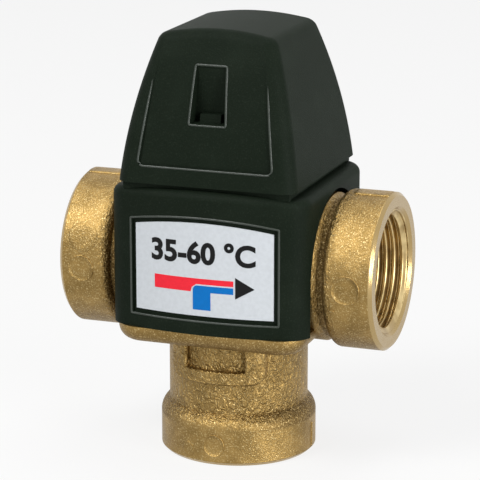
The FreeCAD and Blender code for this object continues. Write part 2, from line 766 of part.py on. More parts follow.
def make_knob_screw():
    body = new_body("knob_screw")
    seat = size.spindle_top + size.screw_seat
    head_top = seat + size.screw_head_height
    turn(body, "Revolution", [
        (0, seat - size.screw_length), (size.screw_radius, seat - size.screw_length),
        (size.screw_radius, seat), (size.screw_head_radius, seat),
        (size.screw_head_radius, head_top), (0, head_top)])
    sketch = new_sketch(body, "XY_Plane", head_top)
    rectangle(sketch, size.screw_head_radius * 2, size.screw_slot)
    extrude(body, "Pocket", sketch, size.screw_head_height / 2)
    return body


# ---------------------------------------------------------------- nut, cup and overload spring

def make_pressure_nut():
    """Hexagonal nut that climbs the spindle and carries the overload spring in its well."""
    body = new_body("pressure_nut")
    bottom, top = size.nut_bottom, size.nut_top
    prism(body, "Additive", size.nut_flats, bottom, top - bottom)
    groove = size.nut_well_radius + size.cup_ring_grip
    groove_top = size.cup_bottom
    groove_bottom = groove_top - size.cup_ring_thickness
    turn(body, "Groove", [
        (0, bottom), (size.nut_well_radius, bottom), (size.nut_well_radius, groove_bottom),
        (groove, groove_bottom), (groove, groove_top), (size.nut_well_radius, groove_top),
        (size.nut_well_radius, size.nut_well_top), (size.nut_bore_radius, size.nut_well_top),
        (size.nut_bore_radius, top), (0, top)])
    return body


def make_cup_ring():
    return ring("cup_ring", size.cup_ring_bore, size.nut_well_radius + size.cup_ring_grip,
                size.cup_bottom - size.cup_ring_thickness, size.cup_ring_thickness)


def make_spring_cup():
    """Plate that passes the spring's force to the pin, with a lip that centres the coil."""
    body = new_body("spring_cup")
    bottom, top = size.cup_bottom, size.cup_bottom + size.cup_height
    lip = size.overload_coil_radius - size.overload_wire
    turn(body, "Revolution", [
        (0, bottom), (size.cup_radius, bottom), (size.cup_radius, top), (lip, top),
        (lip, top + size.cup_height / 2), (0, top + size.cup_height / 2)])
    return body


def coil(label, radius, wire, bottom, top, turns):
    """A spring of square wire with its axis on Z, between the two heights."""
    body = new_body(label)
    sketch = new_sketch(body, "XZ_Plane")
    rectangle(sketch, wire, wire, (radius, bottom + wire / 2))
    spring = body.newObject("PartDesign::AdditiveHelix", "AdditiveHelix")
    spring.Profile = sketch
    spring.ReferenceAxis = (sketch, ["V_Axis"])
    spring.Mode = "height-turns-angle"
    bind(spring, "Height", top - bottom - wire)
    bind(spring, "Turns", turns)
    doc.recompute()
    return body


def make_overload_spring():
    return coil("overload_spring", size.overload_coil_radius, size.overload_wire,
                size.cup_bottom + size.cup_height, size.nut_well_top, size.overload_turns)


def make_piston_pin():
    body = new_body("piston_pin")
    tube(body, "Revolution", 0, size.pin_radius, size.pin_bottom, size.cup_bottom)
    return body


# ---------------------------------------------------------------- wax element and spool

def make_element_capsule():
    """Copper cup that holds the wax, with the collar that the return spring pushes on."""
    body = new_body("element_capsule")
    bottom, top, edge = size.capsule_bottom, size.capsule_top, size.capsule_round
    radius = size.capsule_radius
    bulge = edge * (1 - math.sqrt(0.5))
    collar = top - size.collar_thickness
    pin_hole = size.pin_radius + size.pin_gap
    turn(body, "Revolution", [
        (0, bottom), (radius - edge, bottom), Arc(radius - bulge, bottom + bulge),
        (radius, bottom + edge), (radius, collar), (size.collar_radius, collar),
        (size.collar_radius, top), (pin_hole, top), (pin_hole, top - size.pin_run),
        (0, top - size.pin_run)])
    return body


def make_element_guide():
    """Brass guide crimped on the capsule: flange, then a tapering stem round the pin."""
    body = new_body("element_guide")
    bottom = size.capsule_top
    flange = bottom + size.guide_flange
    pin_hole = size.pin_radius + size.pin_gap
    straight = flange + size.spool_web + size.spool_clip_thickness
    turn(body, "Revolution", [
        (pin_hole, bottom), (size.collar_radius, bottom), (size.collar_radius, flange),
        (size.guide_radius, flange), (size.guide_radius, straight),
        (size.guide_tip_radius, size.guide_top_height), (pin_hole, size.guide_top_height)])
    return body


def make_spool():
    """Sleeve that opens one seat as it closes the other, hung on the element by its spokes."""
    body = new_body("spool")
    bottom, top = size.spool_bottom, size.spool_top
    inner = size.spool_radius - size.spool_wall
    low = size.spool_flange_bottom
    high = low + size.spool_flange_height
    seal_low = low + (size.spool_flange_height - size.spool_seal_height) / 2
    seal_high = seal_low + size.spool_seal_height
    web = size.capsule_top + size.guide_flange
    web_top = web + size.spool_web
    turn(body, "Revolution", [
        (inner, bottom), (size.spool_radius, bottom), (size.spool_radius, low),
        (size.spool_flange_radius, low), (size.spool_flange_radius, seal_low),
        (size.spool_seal_radius, seal_low), (size.spool_seal_radius, seal_high),
        (size.spool_flange_radius, seal_high), (size.spool_flange_radius, high),
        (size.spool_radius, high), (size.spool_radius, top), (inner, top),
        (inner, web_top), (size.guide_radius, web_top), (size.guide_radius, web),
        (inner, web)])
    sketch = new_sketch(body, "XY_Plane", web)
    gap = size.spoke_width / 2
    hub, rim = size.spool_hub, inner - size.spool_rim
    slant = rim * math.sqrt(0.5)
    draw(sketch, [(gap, hub), (hub, gap), (rim, gap), Arc(slant, slant), (gap, rim)])
    window = extrude(body, "Pocket", sketch, size.spool_web, backwards=True)
    repeat(body, window, size.spoke_count)
    return body


def make_spool_clip():
    bottom = size.capsule_top + size.guide_flange + size.spool_web
    return ring("spool_clip", size.guide_radius, size.spool_clip_radius, bottom,
                size.spool_clip_thickness)


def make_spool_o_ring():
    low = size.spool_flange_bottom + (size.spool_flange_height - size.spool_seal_height) / 2
    return ring("spool_o_ring", size.spool_seal_radius, size.insert_bore - size.spool_seal_gap,
                low, size.spool_seal_height)


# ---------------------------------------------------------------- flow insert, return spring

def make_flow_insert():
    """Plastic sleeve in the chamber: cold rises round it, hot and mixed cross it by two pads."""
    body = new_body("flow_insert")
    floor, top = size.insert_floor, size.insert_top
    tube(body, "Revolution", 0, size.insert_radius, floor, top)
    pad_reach = size.chamber_radius - size.pad_gap
    beyond = pad_reach + size.pad_radius
    sketch = new_sketch(body, "YZ_Plane")
    disc(sketch, size.pad_radius, (0, size.port_height))
    extrude(body, "Pad", sketch, pad_reach * 2, both_ways=True)
    tube(body, "Groove", pad_reach, beyond, size.chamber_floor, drum_top())
    sketch = new_sketch(body, "YZ_Plane")
    disc(sketch, size.passage_radius, (0, size.port_height))
    extrude(body, "Pocket", sketch, pad_reach * 2, both_ways=True)
    tube(body, "Revolution", 0, size.insert_radius, floor, top)
    turn(body, "Groove", [
        (0, floor + size.insert_floor_height),
        (size.insert_bore, floor + size.insert_floor_height),
        (size.insert_bore, size.shelf_top - size.shelf_thickness),
        (size.shelf_bore, size.shelf_top - size.shelf_thickness),
        (size.shelf_bore, size.shelf_top), (size.insert_bore, size.shelf_top),
        (size.insert_bore, top), (0, top)])
    hot_top = size.hot_window_bottom + size.hot_window_height
    for side, low, high in ((False, size.mix_window_bottom, size.mix_window_top),
                            (True, size.hot_window_bottom, hot_top)):
        sketch = new_sketch(body, "YZ_Plane")
        rectangle(sketch, size.window_width, high - low, (0, (low + high) / 2))
        extrude(body, "Pocket", sketch, pad_reach, backwards=not side)
    foot_height = floor - size.chamber_floor
    sketch = new_sketch(body, "XY_Plane", size.chamber_floor)
    inside = size.passage_radius + size.insert_foot_overlap
    rectangle(sketch, pad_reach - inside, size.foot_width, ((pad_reach + inside) / 2, 0))
    foot = extrude(body, "Pad", sketch, foot_height + size.insert_floor_height)
    repeat(body, foot, size.foot_count)
    tube(body, "Groove", pad_reach, beyond, size.chamber_floor, drum_top())
    return body


def make_return_spring():
    return coil("return_spring", size.return_coil_radius, size.return_wire,
                size.insert_floor + size.insert_floor_height,
                size.capsule_top - size.collar_thickness, size.return_turns)


PIECES = [make_valve_body, make_cover, make_label, make_cap, make_bonnet, make_bonnet_o_ring,
          make_cold_seat_ring, make_hot_seat_ring, make_flow_insert, make_spindle,
          make_thrust_washer, make_spindle_o_ring, make_spindle_clip, make_knob,
          make_knob_screw, make_pressure_nut, make_cup_ring, make_spring_cup,
          make_overload_spring, make_piston_pin, make_element_guide, make_element_capsule,
          make_spool, make_spool_clip, make_spool_o_ring, make_return_spring]


# ---------------------------------------------------------------- build, check and write

bodies = [make() for make in PIECES]
doc.recompute()
faulty = [item.Label for item in doc.Objects if {"Invalid", "Error"} & set(item.State)]
if faulty:
    raise RuntimeError(f"features that failed: {faulty}")
os.makedirs("parts", exist_ok=True)
for body in bodies:
    if body.Shape.isNull() or not body.Shape.isValid():
        raise RuntimeError(f"{body.Label} has no valid shape")
for body in bodies:
    body.Shape.exportStep(f"parts/{body.Label}.step")
    print(body.Label, len(body.Shape.Solids), round(body.Shape.Volume, 1))
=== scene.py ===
"""Looks of a thermostatic mixing valve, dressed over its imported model.

Run as a script, it loads the model, gives every node its finish, adds the threads, casting marks
and print, and sets the stage. Lengths are metres in the model's own frame: the labelled front
faces -Y and +Z is up.
"""
import math

import bmesh
import bpy
from bpy.props import FloatProperty, FloatVectorProperty, IntProperty, PointerProperty
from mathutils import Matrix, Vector
from mathutils.bvhtree import BVHTree


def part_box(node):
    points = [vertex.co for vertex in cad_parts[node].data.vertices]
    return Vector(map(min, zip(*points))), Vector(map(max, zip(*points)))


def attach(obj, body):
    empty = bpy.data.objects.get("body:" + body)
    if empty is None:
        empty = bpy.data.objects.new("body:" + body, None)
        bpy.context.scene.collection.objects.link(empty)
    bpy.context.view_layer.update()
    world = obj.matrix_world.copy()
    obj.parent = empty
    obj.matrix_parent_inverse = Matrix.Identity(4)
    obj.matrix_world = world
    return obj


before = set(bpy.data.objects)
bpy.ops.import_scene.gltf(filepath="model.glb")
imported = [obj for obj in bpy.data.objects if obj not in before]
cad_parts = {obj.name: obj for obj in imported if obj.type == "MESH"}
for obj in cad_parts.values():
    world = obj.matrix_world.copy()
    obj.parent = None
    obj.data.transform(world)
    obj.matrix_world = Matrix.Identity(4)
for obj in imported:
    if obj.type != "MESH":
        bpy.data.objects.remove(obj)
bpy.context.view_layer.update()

bl_info = {
    "name": "Mixing valve looks",
    "version": (1, 0, 0),
    "blender": (4, 5, 0),
    "location": "3D View > Sidebar > Valve",
    "description": "Finishes, threads, casting marks and print of a thermostatic mixing valve",
    "category": "Object",
}

MM = 0.001
PORT_HEIGHT = 42 * MM
SIDE_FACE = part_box("valve_body")[1][0]
HUB_RADIUS = 16.9 * MM


# ---------------------------------------------------------------- shader building

class Wire:
    """An output socket; arithmetic on it adds Math nodes to its tree."""

    def __init__(self, net, socket):
        self.net, self.socket = net, socket

    def math(self, operation, *others, clamp=False):
        settings = {"operation": operation, "use_clamp": clamp}
        return self.net.add("Math", settings, *([self] + list(others)))

    def __add__(self, other):
        return self.math("ADD", other)

    def __sub__(self, other):
        return self.math("SUBTRACT", other)

    def __mul__(self, other):
        return self.math("MULTIPLY", other)

    def __radd__(self, other):
        return self.net.add("Math", {"operation": "ADD"}, other, self)

    def __rsub__(self, other):
        return self.net.add("Math", {"operation": "SUBTRACT"}, other, self)

    def __rmul__(self, other):
        return self.net.add("Math", {"operation": "MULTIPLY"}, other, self)

    def __abs__(self):
        return self.math("ABSOLUTE")

    def step(self, low, high):
        """0 below low, 1 above high, and smooth between them."""
        return self.net.add("MapRange", {"interpolation_type": "SMOOTHSTEP"}, self, low, high)

    def band(self, rise, fall):
        """1 between a rise and a fall, each the (start, end) of a smooth step."""
        return self.step(*rise).both(1 - self.step(*fall))

    def beside(self, name):
        """Another output of the same node."""
        return Wire(self.net, self.socket.node.outputs[name])

    def both(self, other):
        return self.math("MULTIPLY", other)

    def either(self, other):
        return self.math("MAXIMUM", other)


class Net:
    """A node tree, with nodes added by type, settings and inputs."""

    def __init__(self, tree):
        self.tree = tree
        tree.nodes.clear()

    def feed(self, socket, value):
        """Link a wire to the socket, or set the socket to a value."""
        if isinstance(value, Wire):
            self.tree.links.new(value.socket, socket)
        elif socket.type == "RGBA" and len(value) == 3:
            socket.default_value = (*value, 1)
        else:
            socket.default_value = value

    def add(self, kind, settings, *values, out=0, **named):
        """Add a node: its type, its settings, its sockets in order or by name."""
        node = self.tree.nodes.new("ShaderNode" + kind)
        for key, value in settings.items():
            setattr(node, key, value)
        for socket, value in zip(node.inputs, values):
            self.feed(socket, value)
        for key, value in named.items():
            wanted = key.replace("_", " ")
            socket = next(s for s in node.inputs
                          if (wanted == s.name or key == s.identifier) and s.enabled)
            self.feed(socket, value)
        if isinstance(out, str):
            return Wire(self, next(s for s in node.outputs if out in (s.identifier, s.name)))
        return Wire(self, node.outputs[out]) if node.outputs else None

    def rays(self):
        """Whether the ray is the camera's, a glossy one or a transmitted one."""
        camera = self.add("LightPath", {}, out="Is Camera Ray")
        return camera, camera.beside("Is Glossy Ray"), camera.beside("Is Transmission Ray")


class Finish(Net):
    """The tree of one material, which starts from the object's own coordinates."""

    def __init__(self, name):
        self.material = bpy.data.materials.new(name)
        self.material.use_nodes = True
        super().__init__(self.material.node_tree)
        self.place = self.add("TexCoord", {}, out="Object")
        self.x = self.add("SeparateXYZ", {}, self.place, out="X")
        self.y, self.z = self.x.beside("Y"), self.x.beside("Z")

    def blend(self, share, first, second):
        """A colour mixed from first to second."""
        return self.add("Mix", {"data_type": "RGBA"}, Factor_Float=share, A_Color=first,
                        B_Color=second, out="Result_Color")

    def noise(self, size, detail=2.0, rough=0.5, place=None, bend=0.0):
        """Noise whose features are about this many metres across."""
        return self.add("TexNoise", {}, Vector=place or self.place, Scale=1 / size,
                        Detail=detail, Roughness=rough, Distortion=bend, out="Fac")

    def stretch(self, x, y, z):
        """The place with each axis scaled, for marks that run one way."""
        return self.add("VectorMath", {"operation": "MULTIPLY"}, self.place, (x, y, z))

    def distance(self, first, second):
        """Radius from an axis, given the two coordinates across it."""
        return (first * first + second * second).math("SQRT")

    def close(self, bump=None, **inputs):
        """Close the tree with a Principled shader; bump is (height, depth in metres)."""
        if bump:
            height, depth = bump
            inputs["Normal"] = self.add("Bump", {}, Height=height, Distance=depth, Strength=1.0,
                                        out="Normal")
        self.add("OutputMaterial", {}, self.add("BsdfPrincipled", {}, **inputs))
        return self.material


def port_masks(net):
    """Where the three ports are machined: end faces with their chamfers, and bores."""
    across = abs(net.x)
    side_radius = net.distance(net.y, net.z - PORT_HEIGHT)
    down_radius = net.distance(net.x, net.y)
    faces = across.step(SIDE_FACE - 0.9 * MM, SIDE_FACE - 0.6 * MM).either(
        1 - net.z.step(0.5 * MM, 0.8 * MM))
    wall = (14 * MM, 14.2 * MM)
    bores = across.step(15 * MM, 16 * MM).both(1 - side_radius.step(*wall)).either(
        (1 - net.z.step(19 * MM, 20 * MM)).both(1 - down_radius.step(*wall)))
    return faces, bores, across, side_radius, down_radius


def forged_brass(name, looks):
    """Shot-blasted forging: fine grain, creased neck, patina and painted shade in grooves,
    machined port faces.
    """
    net = Finish(name)
    faces, bores, across, side_radius, down_radius = port_masks(net)
    machined = faces.either(bores)

    grain = net.noise(looks.blast_size, 3.0, 0.7)
    dimples = net.noise(looks.blast_size * 2.6, 2.0, 0.5)
    patches = net.noise(5 * MM, 3.0, 0.6)
    folds = net.noise(looks.fold_size, 2.5, 0.55, net.stretch(1.0, 1.0, 0.7), 0.5)
    creases = 1 - abs(folds * 2 - 1).step(0.0, 0.28)
    neck = net.z.band((8 * MM, 10.5 * MM), (25 * MM, 27 * MM))
    shoulders = across.band((21 * MM, 22.5 * MM), (25.2 * MM, 26.6 * MM))
    creased = neck.either(shoulders * 0.7).both(creases)
    turning = net.noise(0.16 * MM, 2.0, 0.6, net.add("CombineXYZ", {}, side_radius, down_radius))
    height = (grain * 0.5 + dimples * 0.3 - creased * 0.8).both(1 - machined) \
        + turning.both(machined) * 0.15

    # Patina and painted shade: darker in the groove by each side hub, on the neck's flanks above
    # the bottom hub and in the band under the saddle.
    grooves = across.band((22.2 * MM, 22.8 * MM), (24 * MM, 25.2 * MM))
    flanks = net.z.band((7.2 * MM, 8.2 * MM), (10.5 * MM, 12.5 * MM)).both(
        across.step(6 * MM, 15 * MM))
    under_saddle = net.z.band((26 * MM, 27 * MM), (28.5 * MM, 31 * MM))
    patina_and_shade = grooves.either(flanks * 0.8).either(under_saddle * 0.4).both(patches.step(0.2, 0.6))
    # Painted shade: between the grain's peaks these places go fully to the patina colour.
    deep_patina_and_shade = patina_and_shade.both(1 - grain.step(0.42, 0.62))
    colour = net.blend(patches.step(0.3, 0.7), looks.brass_dark, looks.brass)
    colour = net.blend(patina_and_shade * 0.5, colour, looks.brass_patina_and_shade)
    colour = net.blend(deep_patina_and_shade, colour, looks.brass_patina_and_shade)
    # Grain peaks lighter: partly the grain's own tone, partly a painted glint.
    colour = net.blend(grain.step(0.52, 0.70) * 0.7, colour, looks.brass_bright_and_glint)
    # Creases take some patina colour: patina and painted shade in the folds.
    colour = net.blend(creased * 0.18, colour, looks.brass_patina_and_shade)
    colour = net.blend(machined, colour, looks.brass_machined)
    sheen = 0.42 - grain.step(0.5, 0.75) * 0.16 + patina_and_shade * 0.2
    return net.close(bump=(height, looks.blast_depth), Base_Color=colour,
                     Roughness=sheen - machined * 0.16, Metallic=1.0)


def turned_brass(name, looks):
    """Bright turned brass with fine tool lines round the axis."""
    net = Finish(name)
    lines = net.noise(0.18 * MM, 2.0, 0.6,
                      net.add("CombineXYZ", {}, net.distance(net.x, net.y), net.z))
    colour = net.blend(net.noise(4 * MM).step(0.35, 0.65), looks.brass_machined,
                       looks.brass_bright_and_glint)
    return net.close(bump=(lines, 0.012 * MM), Base_Color=colour, Metallic=1.0,
                     Roughness=0.26 + lines * 0.14)


def metal(name, colour, worn, roughness):
    """Drawn or stamped metal with faint streaks along Z."""
    net = Finish(name)
    streaks = net.noise(0.4 * MM, 3.0, 0.6, net.stretch(1, 1, 0.08))
    return net.close(bump=(streaks, 0.01 * MM), Metallic=1.0,
                     Base_Color=net.blend(streaks.step(0.35, 0.7), colour, worn),
                     Roughness=roughness + streaks * 0.12)


def moulded(name, colour, lighter, roughness, grain_size, grain_depth, gloss=0.5):
    """Moulded plastic with a spark-eroded grain."""
    net = Finish(name)
    grain = net.noise(grain_size, 2.5, 0.6)
    cloud = net.noise(9 * MM, 2.0, 0.5)
    peaks = grain.step(0.5, 0.78) * 0.6 + cloud.step(0.45, 0.8) * 0.2
    tone = net.blend(peaks, colour, lighter)
    return net.close(bump=(grain, grain_depth), Base_Color=tone, Specular_IOR_Level=gloss,
                     Roughness=roughness + (grain - 0.5) * 0.12)


def film(name, colour):
    """Printed film: even colour, slight satin unevenness."""
    net = Finish(name)
    soft = net.noise(0.8 * MM, 2.0, 0.5)
    darker = tuple(channel * 0.94 for channel in colour)
    return net.close(bump=(soft, 0.004 * MM), Roughness=0.36 + soft * 0.08,
                     Specular_IOR_Level=0.15,
                     Base_Color=net.blend(soft.step(0.3, 0.7), darker, colour))


def rubber(name, colour):
    """Black seal rubber."""
    net = Finish(name)
    grain = net.noise(0.3 * MM, 2.0, 0.6)
    lighter = tuple(channel * 1.8 for channel in colour)
    return net.close(bump=(grain, 0.01 * MM), Roughness=0.62 + grain * 0.15,
                     Base_Color=net.blend(grain.step(0.4, 0.8), colour, lighter))


# ---------------------------------------------------------------- sizes and colours

def tint(label, words, colour):
    return FloatVectorProperty(name=label, description=words, subtype="COLOR", size=3,
                               min=0.0, max=1.0, default=colour)


def length(label, words, metres):
    return FloatProperty(name=label, description=words, default=metres, unit="LENGTH",
                         precision=5)


class ValveLooks(bpy.types.PropertyGroup):
    """Colours and grain sizes of the valve's finishes."""

    brass: tint("Brass", "Forged brass at its usual tone", (0.35, 0.226, 0.075))
    brass_dark: tint("Dark brass", "Duller patches of the forging", (0.235, 0.150, 0.048))
    # Lighter brass: a painted glint on the forging's grain peaks as well as their tone; also the
    # lighter tone of turned brass and the wear of copper.
    brass_bright_and_glint: tint("Bright brass", "Peaks of the blasted grain", (0.72, 0.56, 0.28))
    # Patina colour, used in full or in part as painted shade in the grooves, creases and under
    # the saddle.
    brass_patina_and_shade: tint("Patina", "Brown film left in grooves", (0.10, 0.062, 0.022))
    brass_machined: tint("Machined brass", "Port faces and threads", (0.44, 0.315, 0.140))
    copper: tint("Copper", "Drawn cup of the wax element", (0.62, 0.30, 0.16))
    steel: tint("Steel", "Springs, clips and screws", (0.56, 0.56, 0.55))
    housing: tint("Housing", "Dark moulded plastic", (0.0068, 0.0112, 0.0066))
    housing_light: tint("Housing peaks", "Lighter peaks of the grain", (0.020, 0.028, 0.019))
    # Lighter rim colour: a painted highlight along the rims round the recesses.
    housing_rim_highlight: tint("Housing rims", "Rubbed edges of the plastic", (0.062, 0.078, 0.066))
    knob: tint("Knob", "Setting knob", (0.016, 0.016, 0.017))
    inner: tint("Inner plastic", "Insert, spool and washer", (0.60, 0.60, 0.55))
    rubber: tint("Rubber", "Seals", (0.012, 0.012, 0.013))
    film: tint("Label film", "Ground of the label", (0.57, 0.60, 0.63))
    hot_ink: tint("Hot ink", "Red of the flow diagram", (0.80, 0.022, 0.040))
    cold_ink: tint("Cold ink", "Blue of the flow diagram", (0.0, 0.145, 0.47))
    black_ink: tint("Black ink", "Arrow and figures", (0.006, 0.006, 0.006))
    white_ink: tint("White ink", "Figures of the knob", (0.75, 0.75, 0.75))
    blast_size: length("Blast grain", "Width of the blasted dimples", 0.32 * MM)
    blast_depth: length("Blast depth", "Depth of the forging's texture", 0.22 * MM)
    fold_size: length("Folds", "Width of the creases round the neck", 1.2 * MM)
    housing_grain: length("Housing grain", "Width of the eroded grain", 0.30 * MM)
    housing_depth: length("Housing depth", "Depth of the eroded grain", 0.075 * MM)


class ValveSizes(bpy.types.PropertyGroup):
    """Sizes of the threads, marks and print."""

    root_radius: length("Thread root", "Radius of the port bores", 13.2 * MM)
    crest_radius: length("Thread crest", "Radius over the thread's crests", 12.06 * MM)
    pitch: length("Thread pitch", "Fourteen threads to the inch", 25.4 / 14 * MM)
    label_bow: length("Label bow", "Radius that the label is bent to", 75 * MM)
    rim: length("Rim", "Radius of the rounded rims round the housing's recesses", 0.26 * MM)
    ink: length("Ink", "Thickness of the print", 0.03 * MM)
    figure_height: length("Figures", "Size of the label's figures", 6.3 * MM)
    dial_marks: IntProperty(name="Dial marks", description="Numbers round the knob's top",
                            default=6, min=2, max=12)


class ValveStage(bpy.types.PropertyGroup):
    """Camera and light."""

    azimuth: FloatProperty(name="Azimuth", description="Camera's turn about Z", unit="ROTATION",
                           default=math.radians(19.95))
    elevation: FloatProperty(name="Elevation", description="Camera's height as an angle",
                             unit="ROTATION", default=math.radians(14.69))
    distance: length("Distance", "From the camera to its target", 0.5273)
    target: FloatVectorProperty(name="Target", description="Point that the camera looks at",
                                subtype="TRANSLATION", size=3, default=(0.00027, 0.0, 0.04581))
    lens: FloatProperty(name="Lens", description="Focal length in millimetres", default=183.1)
    daylight: FloatProperty(name="Daylight", description="Strength of the light all round",
                            default=0.20, min=0.0)
    key: FloatProperty(name="Key light", description="Power of the light high at the front",
                       default=7.4, unit="POWER")
    side: FloatProperty(name="Side light", description="Power of the light at the right",
                        default=8.2, unit="POWER")
    top: FloatProperty(name="Top light", description="Power of the light overhead",
                       default=2.5, unit="POWER")


# ---------------------------------------------------------------- mesh helpers

def new_piece(name, mesh, material, body, smooth=True):
    """A piece that rides on a body and takes its finish from a material slot."""
    for polygon in mesh.polygons:
        polygon.use_smooth = smooth
    piece = bpy.data.objects.new(name, mesh)
    bpy.context.scene.collection.objects.link(piece)
    mesh.materials.append(material)
    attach(piece, body)
    return piece


def mesh_of(name, points, faces):
    """A mesh of points and faces whose normals all look outward."""
    mesh = bpy.data.meshes.new(name)
    mesh.from_pydata([tuple(point) for point in points], [], faces)
    clean = bmesh.new()
    clean.from_mesh(mesh)
    bmesh.ops.recalc_face_normals(clean, faces=clean.faces)
    clean.to_mesh(mesh)
    clean.free()
    return mesh


def finish_of(name):
    return bpy.data.materials[name]


def ring_faces(rows, columns, closed_rows=False):
    """Quads of a grid that closes round its columns, and round its rows if asked."""
    faces = []
    for row in range(rows if closed_rows else rows - 1):
        following = (row + 1) % rows
        for column in range(columns):
            beside = (column + 1) % columns
            faces.append((row * columns + column, row * columns + beside,
                          following * columns + beside, following * columns + column))
    return faces


def thread_mesh(name, sizes, start, end, place):
    """A closed sleeve whose bore carries a rounded helical thread, run out at both ends."""
    round_steps, along_steps = 120, 10
    root, rounding = 0.12, 0.4  # flat share of the root, rounded share of the flank
    run_in, run_out = 2.2, 0.6  # slopes at which the thread starts and ends
    least, sunk = 0.02 * MM, 0.06 * MM  # the sleeve's inside and back, from the bore's wall
    rows = max(8, int((end - start) / sizes.pitch * along_steps))
    depth = sizes.root_radius - sizes.crest_radius
    points = []
    for row in range(rows + 1):
        along = start + (end - start) * row / rows
        for step in range(round_steps):
            angle = math.tau * step / round_steps
            turn = (along / sizes.pitch - step / round_steps) % 1.0
            slope = abs(turn * 2 - 1)
            ridge = min(max((slope - root) / (1 - 2 * root), 0.0), 1.0)
            smooth = ridge * ridge * (3 - 2 * ridge)
            ridge = smooth * rounding + ridge * (1 - rounding)
            limit = min((along - start) * run_in, (end - along) * run_out)
            rise = min(depth * ridge, max(limit, least))
            points.append(place(along, sizes.root_radius - rise, angle))
    back = sizes.root_radius + sunk
    for row in (rows, 0):
        along = start + (end - start) * row / rows
        for step in range(round_steps):
            points.append(place(along, back, math.tau * step / round_steps))
    return mesh_of(name, points, ring_faces(rows + 3, round_steps, closed_rows=True))


def side_port(sign):
    """Places a point of a side port: depth from its face, radius, angle."""
    return lambda depth, radius, angle: (sign * (SIDE_FACE - depth), radius * math.cos(angle),
                                         PORT_HEIGHT + radius * math.sin(angle))


def bottom_port(depth, radius, angle):
    """Places a point of the bottom port in the same way."""
    return (radius * math.cos(angle), radius * math.sin(angle), depth)


def side_barrel(along, around):
    """Maps (along X, round the hub from its front, height) onto a side hub."""
    def place(u, v, lift):
        angle, radius = (around + v) / HUB_RADIUS, HUB_RADIUS + lift
        return along + u, -radius * math.cos(angle), PORT_HEIGHT + radius * math.sin(angle)
    return place


def bottom_barrel(along, around):
    """Maps (up Z, round the hub from its front, height) onto the bottom hub."""
    def place(u, v, lift):
        angle, radius = (around + v) / HUB_RADIUS, HUB_RADIUS + lift
        return radius * math.sin(angle), -radius * math.cos(angle), along + u
    return place


def boss_mesh(name, place, wide, tall, profile, square=1.0):
    """A low closed boss: rings at (share of its half-size, height), an ellipse at square 1."""
    steps = 64
    points = []
    for share, lift in profile:
        for step in range(steps):
            angle = math.tau * step / steps
            across, along = (math.copysign(abs(part) ** square, part)
                             for part in (math.cos(angle), math.sin(angle)))
            points.append(place(share * tall / 2 * along, share * wide / 2 * across, lift))
    faces = ring_faces(len(profile), steps)
    faces.append(tuple(range(steps)))
    faces.append(tuple(range((len(profile) - 1) * steps, len(profile) * steps)))
    return mesh_of(name, points, faces)


def front_of(node):
    """A function that finds the front of a node's surface at (x, z)."""
    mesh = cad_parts[node].data
    tree = BVHTree.FromPolygons([vertex.co for vertex in mesh.vertices],
                                [polygon.vertices for polygon in mesh.polygons])
    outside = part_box(node)[0][1] - 10 * MM

    def place(x, z):
        return tree.ray_cast(Vector((x, outside, z)), Vector((0, 1, 0)))[0].y
    return place


def rounded_path(corners, radius, closed):
    """Points about 1 mm apart along (x, z) corners, which are rounded off."""
    count, bend_steps = len(corners), 6
    bent = []
    for number, corner in enumerate(Vector(corner) for corner in corners):
        if not closed and number in (0, count - 1):
            bent.append(corner)
            continue
        before = (Vector(corners[number - 1]) - corner).normalized() * radius
        after = (Vector(corners[(number + 1) % count]) - corner).normalized() * radius
        for step in range(bend_steps + 1):
            t = step / bend_steps
            bent.append(corner + before * (1 - t) ** 2 + after * t ** 2)
    if closed:
        bent.append(bent[0])
    path = []
    for first, second in zip(bent, bent[1:]):
        steps = max(1, round((second - first).length / MM))
        path += [first.lerp(second, step / steps) for step in range(steps)]
    return path if closed else path + [bent[-1]]


def rim_mesh(name, path, front, radius, closed):
    """A rounded rim half sunk in a front surface along a path of (x, z) points."""
    sides, count = 8, len(path)
    sunk, tip, taper_steps = 0.45, 0.15, 8  # shares of the radius, points per open end
    spine = [Vector((point.x, front(point.x, point.y) + radius * sunk, point.y))
             for point in path]
    points = []
    for number, middle in enumerate(spine):
        before = spine[number - 1 if closed else max(number - 1, 0)]
        after = spine[(number + 1) % count if closed else min(number + 1, count - 1)]
        along = (after - before).normalized()
        outward = Vector((0, -1, 0))
        beside = along.cross(outward).normalized()
        from_end = min(number, count - 1 - number)
        taper = 1.0 if closed else min(1.0, tip + from_end / taper_steps)
        for side in range(sides):
            angle = math.tau * side / sides
            points.append(middle + (beside * math.cos(angle) + outward * math.sin(angle))
                          * radius * taper)
    faces = ring_faces(count, sides, closed_rows=closed)
    if not closed:
        faces += [tuple(range(sides)), tuple(range((count - 1) * sides, count * sides))]
    return mesh_of(name, points, faces)


def thicken(mesh, place):
    """Make a flat mesh solid; place maps (x, y, whether on the outer side) to a point."""
    solid = bmesh.new()
    solid.from_mesh(mesh)
    made = bmesh.ops.extrude_face_region(solid, geom=solid.faces[:])["geom"]
    outer = {item for item in made if isinstance(item, bmesh.types.BMVert)}
    for vertex in solid.verts:
        vertex.co = place(vertex.co.x, vertex.co.y, vertex in outer)
    bmesh.ops.recalc_face_normals(solid, faces=solid.faces)
    solid.to_mesh(mesh)
    solid.free()


